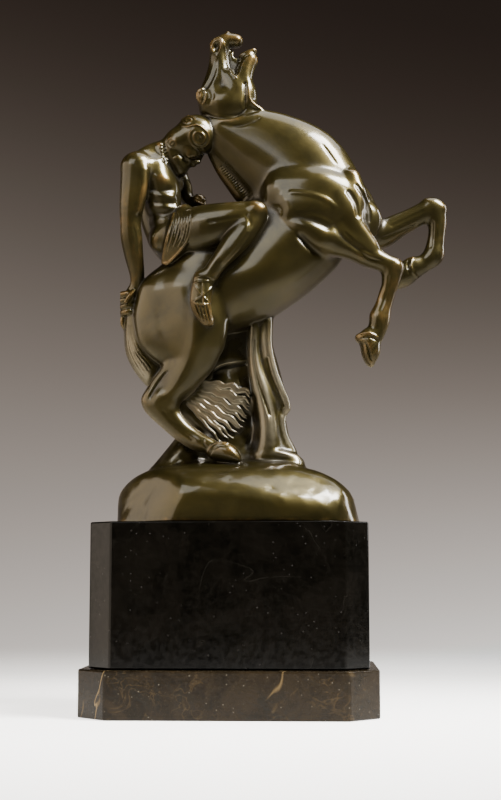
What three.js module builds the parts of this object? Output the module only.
import * as THREE from "three";
import { edgeTable, triTable } from "three/addons/objects/MarchingCubes.js";
import { mergeVertices } from "three/addons/utils/BufferGeometryUtils.js";

// Driving dimensions, in millimetres
const FOOT_LENGTH = 217;
const FOOT_WIDTH = 146;
const FOOT_TOP = 34.5;
const FOOT_CHAMFER = 22;
const BLOCK_LENGTH = 203;
const BLOCK_WIDTH = 130;
const BLOCK_TOP = 140;
const BLOCK_CHAMFER = 17.5;
const ARRIS = 1.4;
const GAP = 0.3;
const BRONZE_FLOOR = BLOCK_TOP + GAP;
const BRONZE_MIN = [-100, -66, 138];
const BRONZE_MAX = [176, 66, 530];
const MOUND_MIDDLE = 5;
const MOUND_HALF_LENGTH = 91.5;
const MOUND_HALF_WIDTH = 57;
const MOUND_TOP = 186;
const MOUND_LEAN = 0.12;
const FACET_LEVEL = 165;
const FACET_CEILING = 190;
const FACET_BLEND = 5;
const HAIR_STRANDS = 9;
const HAIR_STEPS = 12;
const HAIR_WAVES = 20;

// The figure is set out on a front drawing: across, down, depth, in drawing units.
// Depth is zero on the middle plane and minus nearer the front.
const UNIT = 0.764;
const EYE = [58.8, -1069.6, 100.5];
const EYE_HEADING = 2.41;
const EYE_TILT = 7.18;
const EYE_REACH = 1401;
const DRAWING_MIDDLE = [250.5, 400];

// Fineness of the modelled surface
const CELL = 1.3;
const REACH = 8;
const SPAN_STEPS = 5;
const BRONZE_TRIANGLES = 9200;

const COLOURS = {
  bronze: { color: 0x4a4228, roughness: 0.26, metalness: 0.9 },
  black: { color: 0x0b0b0d, roughness: 0.14, metalness: 0 },
  brown: { color: 0x2f2a22, roughness: 0.22, metalness: 0 },
};

// Axes of the drawing's eye
const turn = THREE.MathUtils.degToRad(EYE_HEADING);
const lift = THREE.MathUtils.degToRad(EYE_TILT);
const AHEAD = new THREE.Vector3(
  -Math.sin(turn) * Math.cos(lift),
  Math.cos(turn) * Math.cos(lift),
  Math.sin(lift),
);
const RIGHT = new THREE.Vector3(Math.cos(turn), Math.sin(turn), 0);
const ABOVE = new THREE.Vector3().crossVectors(RIGHT, AHEAD);

// A place on the drawing, turned to millimetres
function place(across, down, depth) {
  const aside = (across - DRAWING_MIDDLE[0]) / EYE_REACH;
  const up = (DRAWING_MIDDLE[1] - down) / EYE_REACH;
  const ray = AHEAD.clone().addScaledVector(RIGHT, aside).addScaledVector(ABOVE, up);
  const reach = (depth * UNIT - EYE[1]) / ray.y;
  return [EYE[0] + reach * ray.x, depth * UNIT, EYE[2] + reach * ray.z];
}

// The same places on one side of the middle plane or the other
function sided(places, side) {
  return places.map(([across, down, depth, ...rest]) => [across, down, depth * side, ...rest]);
}

// Smaller of two distances, rounded where they meet
function joined(a, b, blend) {
  const near = Math.max(0, blend - Math.abs(a - b));
  return Math.min(a, b) - (near * near) / (4 * blend);
}

// A smooth run of places through the given ones
function smoothed(places) {
  if (places.length < 3) return places;
  const run = [];
  for (let i = 0; i < places.length - 1; i++) {
    const here = places[i];
    const next = places[i + 1];
    const before = places[i - 1] ?? here.map((v, k) => 2 * v - next[k]);
    const after = places[i + 2] ?? next.map((v, k) => 2 * v - here[k]);
    for (let s = 0; s < SPAN_STEPS; s++) {
      const t = s / SPAN_STEPS;
      run.push(here.map((v, k) => {
        const slope = next[k] - before[k];
        const bend = 2 * before[k] - 5 * v + 4 * next[k] - after[k];
        const twist = 3 * v - before[k] - 3 * next[k] + after[k];
        return v + 0.5 * t * (slope + t * (bend + t * twist));
      }));
    }
  }
  run.push(places[places.length - 1]);
  return run;
}

// Distance to an oval-sectioned length between two places
function lengthDistance(a, b) {
  const along = [b[0] - a[0], b[1] - a[1], b[2] - a[2]];
  const squash = ((a[3] + b[3]) / (a[4] + b[4])) ** 2;
  const size = along[0] ** 2 + squash * along[1] ** 2 + along[2] ** 2 || 1;
  return (px, py, pz) => {
    const x = px - a[0];
    const y = py - a[1];
    const z = pz - a[2];
    const reach = (x * along[0] + squash * y * along[1] + z * along[2]) / size;
    const t = Math.min(1, Math.max(0, reach));
    const radius = a[3] + t * (b[3] - a[3]);
    const ratio = radius / (a[4] + t * (b[4] - a[4]));
    const dx = x - t * along[0];
    const dy = (y - t * along[1]) * ratio;
    const dz = z - t * along[2];
    const scaled = Math.sqrt(dx * dx + dy * dy + dz * dz) + 1e-9;
    const slope = Math.sqrt(dx * dx + dy * dy * ratio * ratio + dz * dz) / scaled;
    return (scaled - radius) / (slope + 1e-9);
  };
}

// Distance to an egg: centre, three radii and tilt in the drawing's plane
function eggDistance(centre, radii, tilt) {
  const c = Math.cos(THREE.MathUtils.degToRad(tilt));
  const s = Math.sin(THREE.MathUtils.degToRad(tilt));
  return (px, py, pz) => {
    const x = px - centre[0];
    const z = pz - centre[2];
    const u = (x * c + z * s) / radii[0];
    const v = (py - centre[1]) / radii[1];
    const w = (z * c - x * s) / radii[2];
    const scaled = Math.sqrt(u * u + v * v + w * w) + 1e-6;
    const slope = Math.hypot(u / radii[0], v / radii[1], w / radii[2]) + 1e-6;
    return (scaled * (scaled - 1)) / slope;
  };
}

// Grid cells between two corners
function cellRange(low, high) {
  const size = [0, 1, 2].map((k) => Math.ceil((BRONZE_MAX[k] - BRONZE_MIN[k]) / CELL));
  const cellOf = (v, k) => (v - BRONZE_MIN[k]) / CELL;
  return {
    first: low.map((v, k) => Math.max(0, Math.floor(cellOf(v, k)))),
    last: high.map((v, k) => Math.min(size[k], Math.ceil(cellOf(v, k)))),
  };
}

// Clay: signed distances on a box of grid cells, minus inside
class Clay {
  constructor({ first, last } = cellRange(BRONZE_MIN, BRONZE_MAX)) {
    this.first = first;
    this.last = last;
    this.count = last.map((v, k) => Math.max(0, v - first[k] + 1));
    this.field = new Float32Array(this.count[0] * this.count[1] * this.count[2]).fill(REACH);
  }

  cell(i, j, k) {
    const [nx, ny] = this.count;
    return ((k - this.first[2]) * ny + j - this.first[1]) * nx + i - this.first[0];
  }

  shape({ first, last }, rule) {
    for (let k = first[2]; k <= last[2]; k++) {
      const z = BRONZE_MIN[2] + k * CELL;
      for (let j = first[1]; j <= last[1]; j++) {
        const y = BRONZE_MIN[1] + j * CELL;
        let cell = this.cell(first[0], j, k);
        for (let i = first[0]; i <= last[0]; i++, cell++) {
          this.field[cell] = rule(this.field[cell], BRONZE_MIN[0] + i * CELL, y, z);
        }
      }
    }
    return this;
  }

  meet(other, rule) {
    const { first, last } = other;
    for (let k = first[2]; k <= last[2]; k++) {
      for (let j = first[1]; j <= last[1]; j++) {
        let mine = this.cell(first[0], j, k);
        let theirs = other.cell(first[0], j, k);
        for (let i = first[0]; i <= last[0]; i++, mine++, theirs++) {
          this.field[mine] = rule(this.field[mine], other.field[theirs]);
        }
      }
    }
    return this;
  }

  add(other, blend) {
    return this.meet(other, (mine, theirs) => joined(mine, theirs, blend));
  }

  take(other, blend) {
    return this.meet(other, (mine, theirs) => -joined(-mine, theirs, blend));
  }

  limb(blend, places) {
    return this.add(limbClay(places), blend * UNIT);
  }

  groove(blend, places) {
    return this.take(limbClay(places), blend * UNIT);
  }

  lump(blend, at, radii, tilt = 0) {
    return this.add(eggClay(at, radii, tilt), blend * UNIT);
  }

  scoop(blend, at, radii, tilt = 0) {
    return this.take(eggClay(at, radii, tilt), blend * UNIT);
  }

  soften(times) {
    const [nx, ny] = this.count;
    const { field } = this;
    for (let n = 0; n < times; n++) {
      for (const step of [1, nx, nx * ny]) {
        const was = field.slice();
        for (let c = step; c < field.length - step; c++) {
          field[c] = (was[c - step] + 2 * was[c] + was[c + step]) / 4;
        }
      }
    }
    return this;
  }
}

// One limb: an oval-sectioned run through the given places
function limbClay(places) {
  const run = smoothed(places.map(([across, down, depth, radius, width = radius]) => [
    ...place(across, down, depth),
    Math.max(radius * UNIT, 0.05),
    Math.max(width * UNIT, 0.05),
  ]));
  const room = (p) => Math.max(p[3], p[4]) + REACH;
  const cellsAround = (some) => cellRange(
    [0, 1, 2].map((k) => Math.min(...some.map((p) => p[k] - room(p)))),
    [0, 1, 2].map((k) => Math.max(...some.map((p) => p[k] + room(p)))),
  );
  const clay = new Clay(cellsAround(run));
  for (let i = 0; i + 1 < run.length; i++) {
    const ends = [run[i], run[i + 1]];
    const distance = lengthDistance(...ends);
    clay.shape(cellsAround(ends), (mine, x, y, z) => Math.min(mine, distance(x, y, z)));
  }
  return clay;
}

// One egg-shaped lump
function eggClay(at, radii, tilt) {
  const centre = place(...at);
  const sizes = radii.map((r) => r * UNIT);
  const room = Math.max(...sizes) + REACH;
  const clay = new Clay(cellRange(centre.map((v) => v - room), centre.map((v) => v + room)));
  const distance = eggDistance(centre, sizes, tilt);
  return clay.shape(clay, (mine, x, y, z) => distance(x, y, z));
}

// Barrel, croup, breast and withers of the horse
function trunk(clay) {
  clay.limb(10, [
    [200, 304, 0, 34, 34], [237, 292, 0, 40, 40], [267, 270, 0, 43, 43], [297, 246, 0, 43, 42],
    [323, 226, 0, 36, 36],
  ]);
  clay.limb(12, [
    [196, 288, 0, 34, 31], [224, 272, 0, 35, 32], [254, 250, 0, 39, 34], [284, 226, 0, 39, 33],
    [310, 206, 0, 36, 30],
  ]);
  clay.limb(10, [
    [232, 280, -25, 15, 11], [262, 278, -28, 16, 11], [290, 268, -27, 15, 11], [310, 254, -24, 12, 10],
  ]);
  clay.limb(10, [
    [232, 280, 25, 15, 11], [262, 278, 28, 16, 11], [290, 268, 27, 15, 11], [310, 254, 24, 12, 10],
  ]);
  clay.limb(11, [[170, 300, 0, 30, 30], [205, 268, 0, 34, 34]]);
  clay.limb(12, [[262, 292, 0, 22, 18], [290, 277, 0, 20, 20], [318, 255, 0, 18, 18]]);
  clay.limb(12, [[332, 212, -15, 38, 20], [356, 220, -13, 26, 15]]);
  clay.limb(12, [[332, 212, 15, 38, 20], [356, 220, 13, 26, 15]]);
  clay.lump(8, [357, 207, 0], [17, 20, 20]);
  clay.limb(10, [[262, 218, 0, 24, 14], [288, 194, 0, 30, 22]]);
}

// Arched neck with clipped mane, throat folds and shoulder crease
function neck(clay) {
  clay.limb(8, [
    [316, 202, 0, 52, 34], [298, 176, 0, 54, 30], [272, 156, -1, 46, 25], [247, 142, -3, 36, 20],
    [226, 130, -5, 26, 16],
  ]);
  clay.limb(6, [
    [252, 125, -3, 10, 11], [284, 131, -2, 12, 13], [314, 150, 0, 15, 17], [336, 178, 0, 18, 22],
  ]);
  clay.limb(4, [[213, 152, -2, 7, 6], [225, 173, -1, 8, 7], [242, 195, 0, 9, 8]]);
  clay.groove(9, [[224, 150, -26, 3, 4], [241, 176, -32, 3, 4], [261, 195, -37, 3, 4]]);
  clay.groove(5, [
    [274, 173, -38, 2, 3], [300, 167, -38, 2.2, 4], [326, 166, -36, 2.2, 4], [348, 172, -28, 2, 3],
  ]);
  clay.groove(4, [[226, 116, -18, 2, 3], [244, 115, -18, 2.2, 3], [258, 113, -13, 1.6, 3]]);
  clay.limb(5, [[222, 122, -16, 3, 3], [242, 120, -17, 3, 3], [258, 116, -13, 3, 3]]);
  clay.groove(6, [
    [276, 172, 37, 2, 3], [300, 167, 37, 2.4, 4], [326, 167, 35, 2.4, 4], [346, 173, 27, 2, 3],
  ]);
}

// Head thrown back with the mouth open
function head(clay) {
  clay.lump(5, [222, 104, -7], [22, 15, 20], 0);
  clay.lump(4, [226, 103, -14], [17, 9, 14], 0);
  clay.limb(5, [
    [208, 109, -6, 9, 12], [211, 95, -6, 12, 13], [217.5, 81, -6, 13.5, 12], [219, 69, -6, 11.5, 10.5],
    [219, 58, -6, 10, 10.5], [219.5, 48, -6, 10, 11.5],
  ]);
  clay.limb(3, [[236, 82, -6, 8, 5], [234, 68, -6, 7, 5], [233, 56, -6, 5, 5]]);
  clay.limb(4, [[228, 78, -12, 9, 7], [233, 88, -13, 11, 8], [232, 102, -13, 13, 8.5]]);
  clay.limb(4, [[228, 78, 0, 9, 7], [233, 88, 1, 11, 8], [232, 102, 1, 13, 8.5]]);
  clay.limb(4, [
    [239, 105, -12, 9, 7], [238.5, 93, -12, 8, 7.5], [239, 80, -11, 7.5, 7], [244, 68, -8, 7.5, 8],
    [249, 60, -6, 7, 8.5],
  ]);
  clay.limb(4, [
    [246, 104, -4, 11, 10], [248.5, 93, -5, 8.5, 10], [246.5, 80, -5, 6.5, 9], [248, 68, -5, 6.5, 8],
    [250, 61, -5, 7, 8],
  ]);
  clay.limb(3, [
    [219.5, 47, -6, 9.5, 11.5], [226, 42, -6, 8.5, 10.5], [232, 41, -6, 7.5, 9.5],
    [236.5, 41.5, -6, 7, 9],
  ]);
  clay.lump(1.5, [228, 34.5, -6], [3, 6, 3], 0);
  clay.lump(2, [216.5, 46.5, -13], [6.5, 6, 9.5], -12);
  clay.lump(2, [216.5, 46.5, 1], [6.5, 6, 9.5], -12);
  clay.lump(2, [251, 61, -6], [5.5, 7, 5], 0);
  clay.limb(2, [[241, 57, -6, 3, 7], [248, 54, -6, 3, 7.5], [254.5, 51.5, -6, 2.8, 6.5]]);
  clay.lump(4, [202.5, 97, -14], [6.5, 7.5, 9.5], 8);
  clay.lump(4, [204.5, 97, 3], [6.5, 7.5, 9.5], 8);
  clay.groove(1.5, [
    [256, 43.5, -6, 3.0, 16], [247, 47.5, -6, 3.0, 16], [240, 51, -6, 3.2, 16], [236, 56, -6, 3.0, 16],
  ]);
  clay.groove(1.5, [
    [235, 52, -18, 4.2, 8], [233.5, 60, -19, 4.0, 8], [234, 67, -20, 3.0, 8], [235, 72, -21, 1.6, 7],
  ]);
  clay.groove(1.5, [
    [235, 52, 6, 4.2, 8], [233.5, 60, 7, 4.0, 8], [234, 67, 8, 3.0, 8], [235, 72, 9, 1.6, 7],
  ]);
  clay.groove(1.5, [[237, 50, -6, 4.5, 9], [234.5, 57, -6, 4.2, 9], [234, 62, -6, 3.2, 8]]);
  clay.lump(1.5, [234.8, 66, -6], [3.6, 6.5, 7.5], 8);
  clay.groove(2.5, [[244.5, 106, -18, 1.2, 4], [245.5, 96, -18.5, 1.2, 4], [245, 84, -16.5, 0.9, 3]]);
  clay.limb(3, [
    [247, 86, -13, 1.5, 3], [248.5, 97, -13.5, 1.8, 3.5], [253, 104, -12.5, 2.2, 3.5],
    [261, 109.5, -9, 2, 3.5],
  ]);
  clay.scoop(1.0, [216, 46, -20.5], [4.0, 6.0, 7.0], -12);
  clay.scoop(1.0, [216, 46, 8.5], [4.0, 6.0, 7.0], -12);
}

// Near foreleg, folded under
function nearForeleg(clay) {
  clay.limb(8, [[286, 192, -24, 22, 14], [316, 194, -27, 24, 14], [342, 200, -22, 19, 16]]);
  clay.limb(10, [[290, 204, -33, 9, 8], [314, 208, -35, 10, 8], [334, 213, -33, 8, 8]]);
  clay.limb(6, [
    [308, 226, -28, 22, 14], [332, 236, -29, 20, 13], [352, 246, -28, 15, 12],
    [369, 256, -26, 12.5, 10], [384, 263, -25, 10, 8.5], [393, 268, -24, 10.5, 9],
  ]);
  clay.limb(8, [[292, 216, -34, 8, 8], [310, 226, -37, 10, 7], [322, 238, -37, 10, 7]]);
  clay.limb(5, [[341, 204, -30, 12, 11], [354, 226, -31, 11, 9], [372, 246, -28, 7, 7]]);
  clay.limb(6, [[352, 178, -20, 9, 10], [357, 196, -24, 10, 10], [354, 214, -29, 9, 9]]);
  clay.groove(7, [[290, 215, -47, 1.5, 4], [308, 218, -47, 2, 4], [328, 226, -45, 1.5, 4]]);
  clay.groove(4, [[334, 222, -43, 1.5, 3], [344, 238, -42, 2, 3], [360, 250, -37, 1.5, 3]]);
  clay.groove(4, [[300, 236, -42, 2, 4], [313, 249, -39, 2.5, 4], [330, 261, -33, 2, 4]]);
  clay.groove(4, [[364, 186, -13, 1, 3], [372, 198, -12, 1.4, 3], [374, 212, -10, 1, 3]]);
  clay.limb(3, [
    [393, 268, -24, 10.6, 9.5], [391, 279, -24, 9.8, 8.5], [389, 290, -24, 7.6, 7],
    [386.5, 302, -24, 6.6, 6.4], [382.5, 311, -24, 8.2, 7.6], [379.5, 320, -24, 10.4, 9],
    [377.5, 329, -24, 9.4, 7.8], [374, 336, -24, 9.5, 8.5],
  ]);
  clay.limb(2, [[384, 290, -24, 4.5, 5], [379, 304, -24, 4, 5], [375, 316, -24, 6, 7]]);
  clay.limb(2, [
    [369, 337, -24, 9.5, 10], [370.5, 350, -24, 10, 10.5], [370, 360, -24, 6, 8],
    [371.5, 366, -24, 2.5, 5],
  ]);
  clay.lump(2, [362, 339, -24], [8, 9, 5.5], -20);
}

// Far foreleg, reaching out
function farForeleg(clay) {
  clay.limb(6, [
    [350, 226, 20, 22, 16], [376, 236, 23, 16, 14], [398, 226, 23, 12.8, 11], [414, 218, 23, 11.5, 10],
    [430, 210, 23, 12, 9.5],
  ]);
  clay.lump(2.5, [427, 203, 23], [6, 8, 5]);
  clay.lump(2.5, [441, 209, 23], [6, 8, 7]);
  clay.limb(3, [
    [434, 208, 23, 11, 9.5], [437, 220, 23, 10, 8.6], [436.5, 234, 23, 9, 8], [435, 246, 23, 9.6, 8],
    [433, 256, 23, 11, 9.5], [425, 263, 23, 9.5, 8.5], [417, 267, 23, 10.5, 10],
  ]);
  clay.limb(2, [[413, 268, 23, 12, 11], [403, 276, 23, 12.5, 11.5], [394, 282, 23, 9, 9]]);
  clay.limb(8, [[286, 192, 24, 22, 14], [316, 194, 27, 24, 14], [342, 204, 24, 19, 15]]);
  clay.limb(5, [[288, 200, 38, 5, 5], [312, 206, 40, 6, 5], [338, 216, 38, 6, 5]]);
  clay.limb(5, [[300, 220, 34, 9, 8], [326, 230, 38, 10, 7], [352, 238, 34, 9, 8]]);
}

// Near hind leg, bearing the weight
function nearHindleg(clay) {
  clay.limb(10, [
    [168, 300, -13, 31, 19], [166, 322, -14, 33, 19], [172, 340, -16, 27, 18], [184, 356, -19, 17, 14],
    [181, 380, -22, 16, 11], [164, 399, -22, 14.5, 10],
  ]);
  clay.limb(10, [
    [192, 296, -22, 26, 18], [194, 320, -25, 28, 18], [196, 342, -25, 24, 16], [197, 358, -24, 20, 14],
    [184, 378, -23, 14, 11],
  ]);
  clay.lump(6, [164, 336, -15], [27, 16, 24], 0);
  clay.limb(8, [[204, 308, -25, 20, 16], [212, 328, -26, 15, 14], [211, 342, -25, 14, 12]]);
  clay.limb(6, [
    [201, 316, -36, 11, 8], [198, 340, -35, 10, 8], [191, 360, -32, 8, 7], [182, 380, -29, 7, 6.5],
    [170, 397, -28, 7, 6],
  ]);
  clay.limb(5, [[172, 366, -22, 8, 8], [158, 384, -22, 7.5, 7.5], [149, 400, -22, 8, 7.5]]);
  clay.limb(4, [
    [160, 403, -22, 17.5, 11], [169, 417, -22, 13, 9.5], [181, 430, -22, 11, 9],
    [192, 438, -23, 10.5, 9], [201, 443, -25, 9.5, 9], [210, 446, -26, 8, 8.5],
  ]);
  clay.groove(3, [[166, 372, -33, 1.2, 2.5], [156, 388, -32, 1.6, 3], [150, 399, -32, 1.2, 2.5]]);
  clay.lump(2.5, [171, 404, -25], [7, 8, 8], 0);
  clay.limb(2, [
    [214, 452.5, -27, 7.5, 9], [221, 451.5, -28, 10.4, 10.5], [229, 454, -29, 9.8, 11.5],
    [237, 459.5, -29, 5.4, 10.5],
  ]);
  clay.scoop(3, [200, 458, -33], [6.5, 9, 5.5], 10);
}

// Far hind leg
function farHindleg(clay) {
  clay.limb(10, [
    [178, 298, 20, 36, 20], [184, 322, 24, 40, 18], [198, 344, 24, 28, 16], [202, 362, 23, 20, 13],
    [194, 384, 22, 14, 11], [184, 401, 22, 13, 10],
  ]);
  clay.limb(8, [[198, 310, 25, 28, 16], [214, 330, 25, 16, 14]]);
  clay.limb(4, [[186, 372, 22, 8, 8], [176, 390, 22, 7.5, 7.5], [171, 402, 22, 8, 7.5]]);
  clay.limb(4, [
    [184, 402, 22, 13, 10], [194, 418, 22, 10.5, 9], [206, 432, 22, 9.6, 8], [220, 444, 22, 10.5, 9],
    [232, 448, 22, 9.5, 8.5],
  ]);
  clay.limb(2, [[236, 449, 22, 10, 10], [246, 455, 22, 11, 11]]);
}

// Bent torso of the rider
function torso(clay) {
  clay.limb(6, [
    [178, 244, -3, 22, 24], [170, 227, -4, 17.5, 19], [165, 211, -5, 17, 18], [161, 190, -5, 20, 23],
    [156, 172, -3, 18, 26],
  ]);
  clay.limb(6, [
    [152, 182, 4, 14, 16], [151, 204, 4, 13, 14], [154, 224, 3, 13, 14], [162, 242, 2, 13, 16],
    [174, 256, 0, 12, 18],
  ]);
  clay.lump(5, [159, 180, -20], [13, 10.5, 9.5], -35);
  clay.lump(5, [172, 184, 6], [12, 12, 12], -10);
  clay.limb(7, [[153, 196, -17, 5, 8], [163, 197, -20, 5, 8], [171, 199, -16, 4, 8]]);
  clay.limb(7, [[154, 208, -16, 4.5, 8], [165, 208, -19, 4.5, 8], [174, 209, -15, 4, 8]]);
  clay.lump(6, [165, 222, -14], [13, 11, 8], 0);
  clay.groove(4, [[152, 189, -30, 1, 3], [160, 191, -31, 1.5, 3], [172, 189, -26, 1, 3]]);
  clay.groove(4, [[155, 202, -29, 0.8, 3], [163, 203, -30.5, 1.2, 3], [173, 203.5, -26, 0.8, 3]]);
  clay.groove(5, [[157, 213.5, -28, 0.8, 3], [165, 214, -30, 1.2, 3], [175, 214.5, -26, 0.8, 3]]);
  clay.limb(5, [
    [140, 162, -16, 11, 12], [152, 156, -7, 12, 14], [163, 152, -6, 12, 12], [174, 149, -6, 12, 12],
  ]);
  clay.limb(5, [[165, 164, 14, 11, 12], [160, 156, 2, 12, 14]]);
  clay.limb(3, [[147, 162, -24, 3.6, 5], [158, 169, -21, 3.2, 5], [170, 180, -12, 3, 5]]);
  clay.lump(6, [137, 167.5, -25], [16, 13, 16]);
  clay.lump(6, [174, 172, 22], [14, 13, 14]);
  clay.lump(5, [162, 238, -14], [12, 13, 16], -30);
  clay.lump(6, [166, 238, 12], [14, 15, 18], -30);
  clay.groove(3, [[146, 176, 10, 1, 3], [138, 196, 6, 2, 3], [139, 220, 4, 2, 3], [146, 240, 3, 1, 3]]);
}

// Near arm, reaching back to the tail
function nearArm(clay) {
  clay.limb(4, [
    [135, 168, -26, 14.5, 13], [133.5, 190, -27, 14, 12], [131.5, 208, -27, 12.4, 11],
    [130.5, 224, -26, 10.6, 10], [131.5, 238, -24, 11, 10], [134, 256, -20, 9.6, 8.6],
    [137, 274, -15, 7.6, 7.2], [137, 287, -11, 6.2, 6.8],
  ]);
  clay.limb(3, [[141, 172, -33, 8, 6], [140, 192, -34, 7, 5], [137, 210, -33, 5, 5]]);
  clay.limb(3, [[136, 287, -10, 6.4, 7], [132, 296, -8, 8, 9], [130, 304, -8, 7.5, 10]]);
}

// Far arm, fist at the thigh
function farArm(clay) {
  clay.limb(3, [
    [173, 174, 24, 13, 12], [182, 186, 26, 10, 10], [186, 197, 24, 8, 9], [191, 203, 20, 6.5, 7],
    [198, 202, 17, 6.5, 7],
  ]);
  clay.lump(2, [199, 200, 16], [8, 8, 6], -8);
}

// Bowed head in a close cap
function riderHead(clay) {
  clay.lump(3, [196, 136, -8], [22, 19, 22], 0);
  clay.lump(4, [181, 142, -8], [20, 17, 16], 30);
  clay.limb(3, [[172, 154, -8, 11, 13], [178, 163, -8, 9, 12], [181, 171, -8, 6.5, 8]]);
  clay.lump(3, [190, 153, -8], [12, 14, 10], -40);
  clay.limb(2, [[199, 154, -8, 4, 4], [196, 160, -8, 3.6, 3.6], [193.5, 165, -8, 3, 3.4]]);
  clay.limb(2, [[188.5, 163, -8, 4.4, 7], [185, 168, -8, 4, 6.5]]);
  clay.scoop(2, [195, 159, -16], [3, 4, 2.6], -45);
  clay.scoop(2, [195, 159, 0], [3, 4, 2.6], -45);
  clay.limb(2, [[160, 147, -14, 5, 6], [162, 158, -16, 4.5, 5]]);
  clay.limb(2, [[160, 147, -2, 5, 6], [162, 158, 0, 4.5, 5]]);
}

// Bare legs with sandalled feet
function legs(clay) {
  const thigh = [
    [182, 234, -18, 22, 16], [202, 228, -32, 23, 16], [228, 221, -38, 19, 14],
    [251, 215, -38, 14, 12.5],
  ];
  const shin = [
    [255, 214, -38, 13, 12], [244, 231, -42, 13.6, 12], [231, 247, -46, 11.8, 11],
    [218, 263, -48, 9, 8.5], [210, 275, -48, 8.4, 8],
  ];
  const foot = [
    [203, 279, -48, 10, 8], [201.5, 291, -50, 10.8, 7.5], [200.5, 303, -52, 10.4, 6],
    [203.5, 313, -51.5, 8.6, 5], [207.5, 320.5, -50, 6.4, 4],
  ];
  for (const side of [1, -1]) {
    clay.limb(5, sided(thigh, side));
    clay.limb(2, sided(shin, side));
    clay.limb(3, sided(foot, side));
    clay.lump(3, [256, 210, -42 * side], [11, 9, 9]);
    clay.limb(3, sided([[246, 230, -50, 6, 5], [236, 246, -53, 5, 4], [224, 260, -54, 4, 3]], side));
  }
}

// Folded cloth over the hip
function drape(clay) {
  clay.limb(4, [
    [185, 213, -24, 9, 10], [179, 227, -28, 9, 10], [173, 243, -27, 8, 10], [167, 257, -22, 4.5, 8],
  ]);
  clay.limb(4, [
    [192, 219, -30, 5, 8], [189, 235, -33, 5, 8], [180, 250, -30, 4.5, 7], [171, 261, -24, 3, 6],
  ]);
  for (let i = 0; i < 5; i++) {
    const t = i / 4;
    const r = 1.9 + 0.4 * Math.sin(Math.PI * t);
    clay.limb(1.2, [
      [174 + 19 * t, 214 - 4 * t, -31 - 4 * t, r], [171 + 19.5 * t, 227, -36 - 3 * t, r + 0.3],
      [167 + 20 * t, 242 - t, -36 - 4 * t, r + 0.4], [164 + 13 * t, 255 - t, -30 - 5 * t, r],
      [162.5 + 5 * t, 263 + t, -25 - 4 * t, r - 0.4],
    ]);
  }
}

// Tail along the haunch
function tail(clay) {
  for (let i = 0; i < 7; i++) {
    const t = i / 6;
    const q = (t - 0.5) * 44;
    const b = Math.abs(t - 0.5);
    clay.limb(4, [
      [132 + 3 * b, 310, q * 0.35, 6], [130.5 + 8 * b, 330, q * 0.55, 6.5],
      [134 + 9 * b, 352, q * 0.6, 8], [146 + 6 * b, 371, q * 0.5, 9], [164, 386, q * 0.35, 9.5],
      [186, 394, q * 0.2 + 2, 9.5],
    ]);
  }
  clay.limb(6, [
    [138, 318, 0, 9, 14], [144, 340, 0, 13, 18], [156, 362, 0, 15, 18], [178, 386, 2, 14, 16],
    [204, 400, 5, 18, 13],
  ]);
  clay.limb(6, [
    [134, 316, -8, 6, 6], [134.5, 334, -9, 8.5, 8], [141, 352, -10, 12, 9], [153, 367, -8, 13, 9],
    [166, 381, -5, 12, 9],
  ]);
  clay.limb(6.5, [
    [180, 390, 2, 9, 11], [208, 390, 1, 9, 10.5], [236, 392, 1, 11, 10.5], [247, 404, 2, 11, 10.5],
  ]);
  clay.limb(6, [
    [180, 400, 2, 10, 11], [206, 403, 1, 12, 10.5], [230, 414, 1, 14, 10.5], [245, 430, 2, 13, 10.5],
  ]);
  clay.limb(6, [
    [184, 410, 2, 10, 11], [204, 424, 1, 14, 11], [222, 438, 1, 16, 11.5], [240, 446, 1, 14, 12],
  ]);
  clay.limb(8, [[210, 450, 2, 12, 14], [228, 458, 2, 12, 18], [250, 460, 2, 12, 18]]);
}

// Ridged stump under the belly with a web to the haunch
function support(clay) {
  clay.limb(5, [
    [262, 312, 2, 12, 12], [261.5, 330, 2, 11.5, 12], [262, 348, 2, 11.5, 13], [265.5, 370, 2, 14, 15],
    [268, 390, 2, 16.5, 17], [269, 406, 2, 17.5, 18], [268, 422, 2, 15.5, 18], [269, 440, 2, 18, 20],
    [272, 458, 2, 24, 26],
  ]);
  clay.limb(5, [
    [254, 322, -7, 6, 6], [253, 345, -9, 6, 6], [255, 368, -11, 7, 6.5], [261, 392, -13, 8.5, 7],
    [266, 415, -14, 9, 8], [268, 440, -16, 10, 9], [266, 456, -16, 12, 10],
  ]);
  clay.limb(4, [
    [267, 322, -5, 5.5, 6], [267, 346, -8, 5.5, 6], [272, 370, -9, 5.5, 6], [279, 390, -9, 6, 6],
    [285, 405, -7, 5.5, 5.5], [281, 418, -8, 5, 6], [282, 436, -9, 6.5, 7], [289, 453, -7, 8, 9],
  ]);
  clay.lump(2, [287, 409, -4], [4, 6, 3.6], 0);
  clay.groove(3, [
    [259, 345, -16, 1.4, 2.4], [263, 366, -18, 1.8, 2.6], [271, 386, -19, 1.8, 2.6],
    [279, 402, -17, 1.6, 2.4], [283, 414, -14, 1, 2],
  ]);
  clay.groove(4, [
    [253, 396, -16, 1.6, 3], [254, 415, -18, 3, 4], [255, 432, -20, 3, 4], [254, 446, -20, 1.8, 3],
  ]);
  clay.limb(3, [
    [266, 318, 8, 5], [267, 350, 12, 5.5], [272, 384, 14, 7], [278, 420, 16, 8], [284, 456, 18, 9],
  ]);
  clay.limb(3, [
    [255, 318, 10, 5], [254, 350, 14, 5.5], [256, 384, 17, 7], [260, 420, 19, 8], [264, 456, 22, 9],
  ]);
  clay.limb(8, [
    [228, 326, 6, 20, 7], [232, 352, 6, 20, 7], [232, 370, 5, 20, 9], [232, 386, 4, 20, 11],
  ]);
  clay.limb(3, [[258, 456, -18, 4, 6], [278, 454, -20, 4, 6], [296, 458, -16, 4, 6]]);
}

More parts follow.
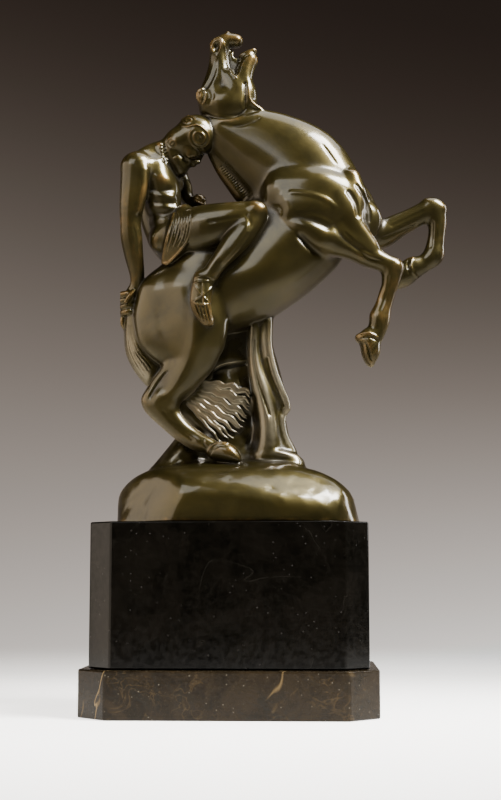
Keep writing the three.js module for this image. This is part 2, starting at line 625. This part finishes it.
// Place on a bend from a start, towards a middle, to an end
function bent(start, middle, end, share) {
  const left = 1 - share;
  return start.map((v, k) => left * left * v + 2 * left * share * middle[k] + share * share * end[k]);
}

// Wavy hair of the tail, fanned out over the web
function hairMass(clay) {
  for (let i = 0; i < HAIR_STRANDS; i++) {
    const t = i / (HAIR_STRANDS - 1);
    const start = [190 - 6 * t, 384 + 14 * t];
    const middle = [222 - 18 * t, 380 + 38 * t];
    const end = [251 - 4 * t - 25 * t ** 3, 393 + 56 * t - 5 * t ** 2];
    const strand = [];
    for (let n = 0; n <= HAIR_STEPS; n++) {
      const s = n / HAIR_STEPS;
      const [across, down] = bent(start, middle, end, s);
      const wave = (0.4 + s) * Math.sin(HAIR_WAVES * s + 0.4 * i);
      const depth = -9.5 - 1.5 * Math.sin(Math.PI * s);
      strand.push([across + wave * t, down + wave * (1 - 0.5 * t), depth, 1.6 + s]);
    }
    clay.limb(1.5, strand);
  }
}


// Low rocky mound: flat underneath, steep sides, a gently domed top
function moundDistance(x, y, z) {
  const height = MOUND_TOP - BRONZE_FLOOR;
  const lean = MOUND_LEAN * Math.min(height, Math.max(0, z - BRONZE_FLOOR));
  const lengthwise = Math.abs((x - MOUND_MIDDLE + lean) / (MOUND_HALF_LENGTH - lean)) ** 4;
  const crosswise = Math.abs(y / MOUND_HALF_WIDTH) ** 3.2;
  const out = (lengthwise + crosswise) ** (1 / 3.6);
  const dome = 1 - 0.26 * Math.min(1.3, out) ** 2.2;
  const side = (out - 1) * MOUND_HALF_WIDTH * 0.9;
  const top = ((z - BRONZE_FLOOR) / dome / height - 1) * height * 0.9;
  return -joined(-side, -top, 22);
}

function mound(clay) {
  clay.shape(clay, (mine, x, y, z) => joined(mine, moundDistance(x, y, z), 4));
  clay.limb(8, [[186, 464, 2, 15, 24], [198, 452, 2, 12, 17], [210, 444, 2, 12, 14]]);
  clay.limb(6, [[181, 441, 4, 6, 12], [170, 458, 2, 8, 18], [159, 473, 0, 9, 24]]);
  clay.limb(6, [[190, 444, 0, 7, 14], [180, 456, -2, 9, 18], [170, 468, -4, 9, 20]]);
  clay.limb(6, [[264, 460, -4, 7, 20], [281, 459, -4, 7, 20], [298, 464, -2, 7, 22]]);
  clay.limb(10, [[205, 476, 0, 12, 34], [250, 474, 0, 12, 34], [290, 474, 0, 10, 32]]);
}

// Broad flats of the mound: the way each faces and how far off the middle it lies
const FACETS = [
  [[-0.62, -0.72, 0.3], 66],
  [[0.16, -0.74, 0.65], 41.5],
  [[-0.78, 0.55, 0.3], 76.5],
  [[0.8, -0.3, 0.52], 81],
];

function facets(clay) {
  for (const [lean, away] of FACETS) {
    const way = new THREE.Vector3(...lean).normalize();
    clay.shape(clay, (mine, x, y, z) => {
      const off = way.x * (x - MOUND_MIDDLE) + way.y * y + way.z * (z - FACET_LEVEL) - away;
      return -joined(-mine, -Math.min(off, FACET_CEILING - z), FACET_BLEND);
    });
  }
}

function castHorse() {
  const clay = new Clay();
  trunk(clay);
  neck(clay);
  farForeleg(clay);
  nearForeleg(clay);
  farHindleg(clay);
  nearHindleg(clay);
  clay.soften(2);
  head(clay);
  return clay.soften(1);
}

function castRider() {
  const clay = new Clay();
  torso(clay);
  nearArm(clay);
  farArm(clay);
  riderHead(clay);
  legs(clay);
  clay.soften(1);
  drape(clay);
  return clay;
}

function castGround() {
  const clay = new Clay();
  mound(clay);
  facets(clay);
  support(clay);
  clay.soften(1);
  tail(clay);
  hairMass(clay);
  return clay;
}

// The whole cast figure, cut flat underneath
function castFigure() {
  const clay = castHorse().add(castGround(), 1.5).add(castRider(), 1);
  return clay.shape(clay, (mine, x, y, z) => {
    const trimmed = Math.max(mine, BRONZE_FLOOR - z);
    return Math.abs(trimmed) < 1e-4 ? 1e-4 : trimmed;
  });
}

// Surface of the clay as an indexed closed mesh
function surfaceOf(clay) {
  const [nx, ny, nz] = clay.count;
  const { field } = clay;
  const rows = [1, nx, nx * ny];
  const points = [];
  const triangles = [];
  const known = new Map();
  const corners = [[0, 0, 0], [1, 0, 0], [1, 1, 0], [0, 1, 0], [0, 0, 1], [1, 0, 1], [1, 1, 1], [0, 1, 1]];
  const edges = [
    [0, 0], [1, 1], [3, 0], [0, 1], [4, 0], [5, 1], [7, 0], [4, 1], [0, 2], [1, 2], [2, 2], [3, 2],
  ];
  const steps = corners.map(([i, j, k]) => i * rows[0] + j * rows[1] + k * rows[2]);
  for (let k = 0; k < nz - 1; k++) {
    for (let j = 0; j < ny - 1; j++) {
      for (let i = 0; i < nx - 1; i++) {
        const cell = (k * ny + j) * nx + i;
        let kind = 0;
        for (let c = 0; c < 8; c++) if (field[cell + steps[c]] > 0) kind |= 1 << c;
        if (edgeTable[kind] === 0) continue;
        const found = [];
        for (let e = 0; e < 12; e++) {
          if ((edgeTable[kind] & (1 << e)) === 0) continue;
          const [corner, axis] = edges[e];
          const start = cell + steps[corner];
          const key = start * 3 + axis;
          let index = known.get(key);
          if (index === undefined) {
            const a = field[start];
            const b = field[start + rows[axis]];
            const at = [i + corners[corner][0], j + corners[corner][1], k + corners[corner][2]];
            at[axis] += a / (a - b);
            index = points.length / 3;
            points.push(...at.map((v, n) => BRONZE_MIN[n] + v * CELL));
            known.set(key, index);
          }
          found[e] = index;
        }
        for (let t = kind * 16; triTable[t] !== -1; t += 3) {
          triangles.push(found[triTable[t]], found[triTable[t + 1]], found[triTable[t + 2]]);
        }
      }
    }
  }
  return { points, triangles };
}

// Pairs waiting to be merged, cheapest first
class Queue {
  constructor() {
    this.items = [];
  }

  push(item) {
    const { items } = this;
    let at = items.push(item) - 1;
    while (at > 0) {
      const up = (at - 1) >> 1;
      if (items[up].cost <= item.cost) break;
      items[at] = items[up];
      at = up;
    }
    items[at] = item;
  }

  pop() {
    const { items } = this;
    const top = items[0];
    const item = items.pop();
    const size = items.length;
    if (size === 0) return top;
    let at = 0;
    for (let child = 1; child < size; child = 2 * at + 1) {
      if (child + 1 < size && items[child + 1].cost < items[child].cost) child += 1;
      if (items[child].cost >= item.cost) break;
      items[at] = items[child];
      at = child;
    }
    items[at] = item;
    return top;
  }
}

// Sum of squared distances to planes, kept as ten numbers
function errorAt(q, [x, y, z]) {
  return x * (q[0] * x + 2 * (q[1] * y + q[2] * z + q[3]))
    + y * (q[4] * y + 2 * (q[5] * z + q[6]))
    + z * (q[7] * z + 2 * q[8]) + q[9];
}

// Place of least error, or the middle where there is no clear one
function bestPlace(q, a, b) {
  const middle = a.map((v, k) => (v + b[k]) / 2);
  const matrix = new THREE.Matrix3().set(q[0], q[1], q[2], q[1], q[4], q[5], q[2], q[5], q[7]);
  const size = q[0] + q[4] + q[7];
  if (Math.abs(matrix.determinant()) < 1e-4 * size ** 3) return middle;
  const best = new THREE.Vector3(-q[3], -q[6], -q[8]).applyMatrix3(matrix.invert()).toArray();
  const span = Math.hypot(...a.map((v, k) => v - b[k]));
  const drift = Math.hypot(...best.map((v, k) => v - middle[k]));
  return drift < 2 * span ? best : middle;
}

function faceNormal(a, b, c) {
  const u = b.map((v, k) => v - a[k]);
  const w = c.map((v, k) => v - a[k]);
  return [u[1] * w[2] - u[2] * w[1], u[2] * w[0] - u[0] * w[2], u[0] * w[1] - u[1] * w[0]];
}

// A closed mesh that can merge neighbouring points and stays closed
class Skin {
  constructor({ points, triangles }) {
    this.points = [];
    for (let i = 0; i < points.length; i += 3) this.points.push(points.slice(i, i + 3));
    this.faces = [];
    for (let i = 0; i < triangles.length; i += 3) this.faces.push(triangles.slice(i, i + 3));
    this.around = this.points.map(() => []);
    this.errors = this.points.map(() => new Float64Array(10));
    this.stamps = new Int32Array(this.points.length);
    this.left = this.faces.length;
    this.faces.forEach((face, index) => {
      const error = this.planeError(face);
      for (const point of face) {
        this.around[point].push(index);
        for (let n = 0; n < 10; n++) this.errors[point][n] += error[n];
      }
    });
  }

  planeError(face) {
    const [a, b, c] = face.map((point) => this.points[point]);
    const normal = faceNormal(a, b, c);
    const area = Math.hypot(...normal) + 1e-12;
    const [x, y, z] = normal.map((v) => v / area);
    const d = -(x * a[0] + y * a[1] + z * a[2]);
    return [x * x, x * y, x * z, x * d, y * y, y * z, y * d, z * z, z * d, d * d].map((v) => v * area);
  }

  neighbours(point) {
    const found = new Set();
    for (const face of this.around[point]) for (const other of this.faces[face]) found.add(other);
    found.delete(point);
    return found;
  }

  offer(queue, a, b) {
    const error = this.errors[a].map((v, n) => v + this.errors[b][n]);
    const to = bestPlace(error, this.points[a], this.points[b]);
    const stamp = this.stamps[a] + this.stamps[b];
    queue.push({ cost: errorAt(error, to), a, b, to, stamp });
  }

  keepsShape(point, other, to) {
    return this.around[point].every((index) => {
      const face = this.faces[index];
      if (face.includes(other)) return true;
      const before = faceNormal(...face.map((p) => this.points[p]));
      const after = faceNormal(...face.map((p) => (p === point ? to : this.points[p])));
      const size = Math.hypot(...before) * Math.hypot(...after);
      return before[0] * after[0] + before[1] * after[1] + before[2] * after[2] > 0.35 * size;
    });
  }

  canMerge(a, b, to) {
    const mine = this.neighbours(a);
    if (!mine.has(b)) return false;
    let shared = 0;
    for (const other of this.neighbours(b)) if (mine.has(other)) shared += 1;
    return shared === 2 && this.keepsShape(a, b, to) && this.keepsShape(b, a, to);
  }

  merge(queue, { a, b, to }) {
    for (const index of this.around[b]) {
      const face = this.faces[index];
      if (face.includes(a)) {
        this.left -= 1;
        for (const point of face) {
          if (point !== b) this.around[point] = this.around[point].filter((f) => f !== index);
        }
        this.faces[index] = null;
      } else {
        face[face.indexOf(b)] = a;
        this.around[a].push(index);
      }
    }
    this.around[b] = [];
    this.points[a] = to;
    for (let n = 0; n < 10; n++) this.errors[a][n] += this.errors[b][n];
    this.stamps[a] += 1;
    this.stamps[b] += 1;
    for (const other of this.neighbours(a)) this.offer(queue, a, other);
  }

  thin(target) {
    const queue = new Queue();
    for (const [a, b, c] of this.faces) {
      if (a < b) this.offer(queue, a, b);
      if (b < c) this.offer(queue, b, c);
      if (c < a) this.offer(queue, c, a);
    }
    while (this.left > target && queue.items.length > 0) {
      const pair = queue.pop();
      if (pair.stamp !== this.stamps[pair.a] + this.stamps[pair.b]) continue;
      if (this.canMerge(pair.a, pair.b, pair.to)) this.merge(queue, pair);
    }
    return this;
  }

  geometry() {
    const used = this.points.map((_, point) => this.around[point].length > 0);
    const index = [];
    const positions = [];
    this.points.forEach(([x, y, z], point) => {
      if (!used[point]) return;
      index[point] = positions.length / 3;
      positions.push(x, y, z < BRONZE_FLOOR + 0.1 ? BRONZE_FLOOR : z);
    });
    const shape = new THREE.BufferGeometry();
    shape.setAttribute("position", new THREE.Float32BufferAttribute(positions, 3));
    shape.setIndex(this.faces.filter(Boolean).flat().map((point) => index[point]));
    shape.computeVertexNormals();
    return shape;
  }
}

// Slab with slanted corners and softened arrises, standing on the given level
function slab(length, width, bottom, top, chamfer) {
  const [x, y] = [length / 2 - ARRIS, width / 2 - ARRIS];
  const cut = chamfer - ARRIS * (2 - Math.SQRT2);
  const outline = new THREE.Shape([
    [x - cut, -y], [x, cut - y], [x, y - cut], [x - cut, y],
    [cut - x, y], [-x, y - cut], [-x, cut - y], [cut - x, -y],
  ].map(([across, back]) => new THREE.Vector2(across, back)));
  const solid = new THREE.ExtrudeGeometry(outline, {
    depth: top - bottom - 2 * ARRIS,
    bevelThickness: ARRIS,
    bevelSize: ARRIS,
    bevelSegments: 3,
  });
  solid.translate(0, 0, bottom + ARRIS);
  solid.deleteAttribute("normal");
  solid.deleteAttribute("uv");
  const closed = mergeVertices(solid, 0.001);
  closed.computeVertexNormals();
  return closed;
}

function piece(name, geometry, look) {
  const mesh = new THREE.Mesh(geometry, new THREE.MeshStandardMaterial(COLOURS[look]));
  mesh.name = name;
  return mesh;
}

const bronze = new Skin(surfaceOf(castFigure())).thin(BRONZE_TRIANGLES).geometry();
const part = new THREE.Group();
part.name = "rearing_horse_and_rider";
part.add(piece("figure_group", bronze, "bronze"));
const block = slab(BLOCK_LENGTH, BLOCK_WIDTH, FOOT_TOP + GAP, BLOCK_TOP, BLOCK_CHAMFER);
part.add(piece("plinth_block", block, "black"));
const foot = slab(FOOT_LENGTH, FOOT_WIDTH, 0, FOOT_TOP, FOOT_CHAMFER);
part.add(piece("plinth_foot", foot, "brown"));

export default part;
